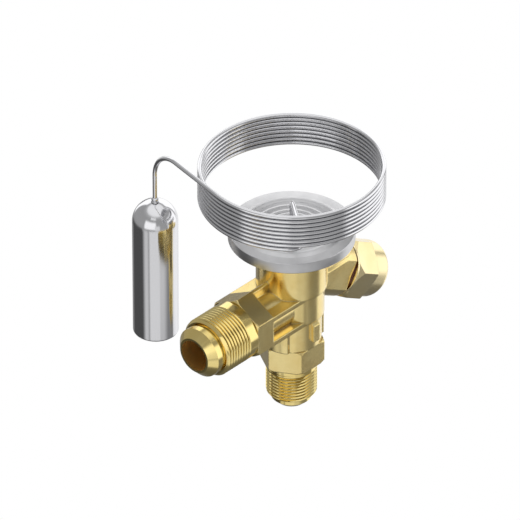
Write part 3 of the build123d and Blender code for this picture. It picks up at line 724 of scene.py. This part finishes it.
housingRim = coverInside - v["lapGap"]
housingProfile = roundedProfile([
    (v["sleeveInner"], housingBox[0][2], 0),
    (v["sleeveOuter"], housingBox[0][2], 0),
    (v["sleeveOuter"], v["neckTop"], 0),
    (v["foot"], v["neckTop"], v["footEdge"]),
    (v["radius"] - v["coneEnd"], v["rimBottom"], v["coneEdge"]),
    (housingRim, v["rimBottom"], v["lapEdge"]),
    (housingRim, v["seam"], 0),
    (v["chamber"], v["seam"], 0),
    (v["chamber"], v["floor"], 0),
    (v["sleeveInner"], v["floor"], 0)])
turnedHousing = lathe("turnedHousing", housingProfile, (0, 0, 0), (0, 0, 1), v["around"])
smoothByAngle(turnedHousing, v["sharpAngle"])
turnedHousing.data.materials.append(finishes["turnedSteel"])
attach(turnedHousing, "valve")
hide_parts("element_housing")


print("stage: studio")
studio = {
    "middle": (-0.002, 0.008, 0.046),
    "tentRadius": 0.42,
    "tentRings": 120,
    "tentAround": 240,
    "poleGap": 0.5,       # degrees from each pole to the first ring
    "level": 1.0,         # turns the whole tent up or down
    "floorDrop": 0.6,
    "floorReach": 8.0,
    "pale": (0.9, 0.9, 0.9),
    "floorRoughness": 0.8,
    # brightness of the bare cloth at these elevations
    "cloth": [(-90, 0.10), (-60, 0.16), (-40, 0.24), (-20, 0.34), (0, 0.38), (36, 0.36),
              (48, 0.46), (57, 0.96), (90, 1.0)],
    # softbox panels: azimuth, elevation, half width, half height (degrees), brightness, edge
    "panels": [
        (42, 14, 42, 27, 1.32, 8),
        (20, -28, 28, 20, 0.95, 9),
        (58, -10, 12, 11, 0.26, 8),
        (195, 6, 27, 18, 1.15, 9),
        (206, 41, 16, 5, 0.95, 6),
        (318, 2, 33, 24, 1.30, 12),
        (250, -36, 24, 14, 0.70, 34),
        (214, -36, 26, 14, 0.80, 9),
        (229, -6, 12, 12, 0.80, 9),
        (342, -34, 20, 12, 1.05, 9),
        (122, -37, 34, 20, 0.08, 9),
        (173, -36, 10, 14, 0.66, 14),
        (304, -42, 11, 16, 0.24, 10),
    ],
}


def lightTent(values):
    # sphere round the object; each point's glow is the cloth's at its elevation, and is blended
    # to each panel's brightness inside that panel's soft-edged box
    highest = 90 - values["poleGap"]
    azimuth = np.radians(np.linspace(0, 360, values["tentAround"], endpoint=False))
    elevation = np.radians(np.linspace(-highest, highest, values["tentRings"]))
    el, az = np.meshgrid(elevation, azimuth, indexing="ij")
    directions = np.stack([np.cos(el) * np.cos(az), np.cos(el) * np.sin(az), np.sin(el)], -1)
    middle = np.array(values["middle"])
    tent = meshFromGrid("lightTent", middle + values["tentRadius"] * directions)
    place = np.zeros(len(tent.data.vertices) * 3)
    tent.data.vertices.foreach_get("co", place)
    place = place.reshape(-1, 3) - middle
    place /= np.linalg.norm(place, axis=1)[:, None]
    azd = np.degrees(np.arctan2(place[:, 1], place[:, 0])) % 360
    eld = np.degrees(np.arcsin(np.clip(place[:, 2], -1, 1)))

    def ease(x):
        x = np.clip(x, 0, 1)
        return x * x * (3 - 2 * x)

    heights, cloth = zip(*values["cloth"])
    glow = np.interp(eld, heights, cloth)
    for az0, el0, halfWidth, half, level, edge in values["panels"]:
        across = np.abs((azd - az0 + 180) % 360 - 180)
        inside = (ease((halfWidth + edge / 2 - across) / edge)
                  * ease((half + edge / 2 - np.abs(eld - el0)) / edge))
        glow = glow * (1 - inside) + level * inside
    attribute = tent.data.attributes.new("glow", "FLOAT", "POINT")
    attribute.data.foreach_set("value", glow.astype(np.float32))
    tent.data.flip_normals()
    material = bpy.data.materials.new("tentCloth")
    material.use_nodes = True
    tree = material.node_tree
    tree.nodes.clear()
    read = tree.nodes.new("ShaderNodeAttribute")
    read.attribute_name = "glow"
    brighter = tree.nodes.new("ShaderNodeMath")
    brighter.operation = "MULTIPLY"
    brighter.inputs[1].default_value = values["level"]
    emission = tree.nodes.new("ShaderNodeEmission")
    output = tree.nodes.new("ShaderNodeOutputMaterial")
    tree.links.new(read.outputs["Fac"], brighter.inputs[0])
    tree.links.new(brighter.outputs["Value"], emission.inputs["Strength"])
    tree.links.new(emission.outputs["Emission"], output.inputs["Surface"])
    tent.data.materials.append(material)
    tent.visible_camera = False
    tent.visible_shadow = False


lightTent(studio)

floorMesh = bpy.data.meshes.new("floor")
reach = studio["floorReach"]
floorZ = cadBounds[0][2] - studio["floorDrop"]
floorMesh.from_pydata([(-reach, -reach, floorZ), (reach, -reach, floorZ),
                       (reach, reach, floorZ), (-reach, reach, floorZ)], [], [(0, 1, 2, 3)])
floor = bpy.data.objects.new("floor", floorMesh)
bpy.context.scene.collection.objects.link(floor)


def whiteToView(tree, dimmed, output):
    # camera, mirror and glass rays see plain white; all other light sees the dimmed shader
    path = tree.nodes.new("ShaderNodeLightPath")
    seen = path.outputs["Is Camera Ray"]
    for name in ("Is Glossy Ray", "Is Transmission Ray"):
        either = tree.nodes.new("ShaderNodeMath")
        either.operation = "MAXIMUM"
        tree.links.new(seen, either.inputs[0])
        tree.links.new(path.outputs[name], either.inputs[1])
        seen = either.outputs["Value"]
    white = tree.nodes.new("ShaderNodeEmission" if output.bl_idname == "ShaderNodeOutputMaterial"
                           else "ShaderNodeBackground")
    white.inputs["Color"].default_value = (1, 1, 1, 1)
    white.inputs["Strength"].default_value = 1.0
    mix = tree.nodes.new("ShaderNodeMixShader")
    tree.links.new(seen, mix.inputs["Fac"])
    tree.links.new(dimmed, mix.inputs[1])
    tree.links.new(white.outputs[0], mix.inputs[2])
    tree.links.new(mix.outputs[0], output.inputs["Surface"])


floorMaterial = bpy.data.materials.new("paleFloor")
floorMaterial.use_nodes = True
floorTree = floorMaterial.node_tree
floorShader = floorTree.nodes["Principled BSDF"]
floorShader.inputs["Base Color"].default_value = (*studio["pale"], 1)
floorShader.inputs["Roughness"].default_value = studio["floorRoughness"]
whiteToView(floorTree, floorShader.outputs["BSDF"], floorTree.nodes["Material Output"])
floorMesh.materials.append(floorMaterial)

world = bpy.data.worlds.new("studioWorld")
world.use_nodes = True
worldTree = world.node_tree
worldTree.nodes["Background"].inputs["Color"].default_value = (*studio["pale"], 1)
whiteToView(worldTree, worldTree.nodes["Background"].outputs[0], worldTree.nodes["World Output"])
bpy.context.scene.world = world

print("stage: camera")
view = {
    "azimuth": -47.0,
    "elevation": 35.2,
    "distance": 3.0,
    "pixelsPerMm": 3.27,
    "anchor": (0, 0, 38.6 * mm),       # this point shows at anchorPixel
    "anchorPixel": (291.6, 295.0),
    "imageSize": 520,
    "sensor": 36,
    "farthest": 50,
}
az, el = math.radians(view["azimuth"]), math.radians(view["elevation"])
back = Vector((math.sin(az) * math.cos(el), -math.cos(az) * math.cos(el), math.sin(el)))
right = Vector((math.cos(az), math.sin(az), 0))
up = back.cross(right)
pixel = mm / view["pixelsPerMm"]
imageMiddle = view["imageSize"] / 2
target = (Vector(view["anchor"]) - right * (view["anchorPixel"][0] - imageMiddle) * pixel
          + up * (view["anchorPixel"][1] - imageMiddle) * pixel)
cameraData = bpy.data.cameras.new("camera")
cameraData.sensor_width = view["sensor"]
cameraData.lens = view["sensor"] * view["distance"] / (view["imageSize"] * pixel)
cameraData.clip_end = view["farthest"]
camera = bpy.data.objects.new("camera", cameraData)
camera.matrix_world = Matrix((right, up, back)).transposed().to_4x4()
camera.location = target + back * view["distance"]
bpy.context.scene.collection.objects.link(camera)
bpy.context.scene.camera = camera
bpy.context.scene.view_settings.view_transform = "Standard"

print("stage: finish")
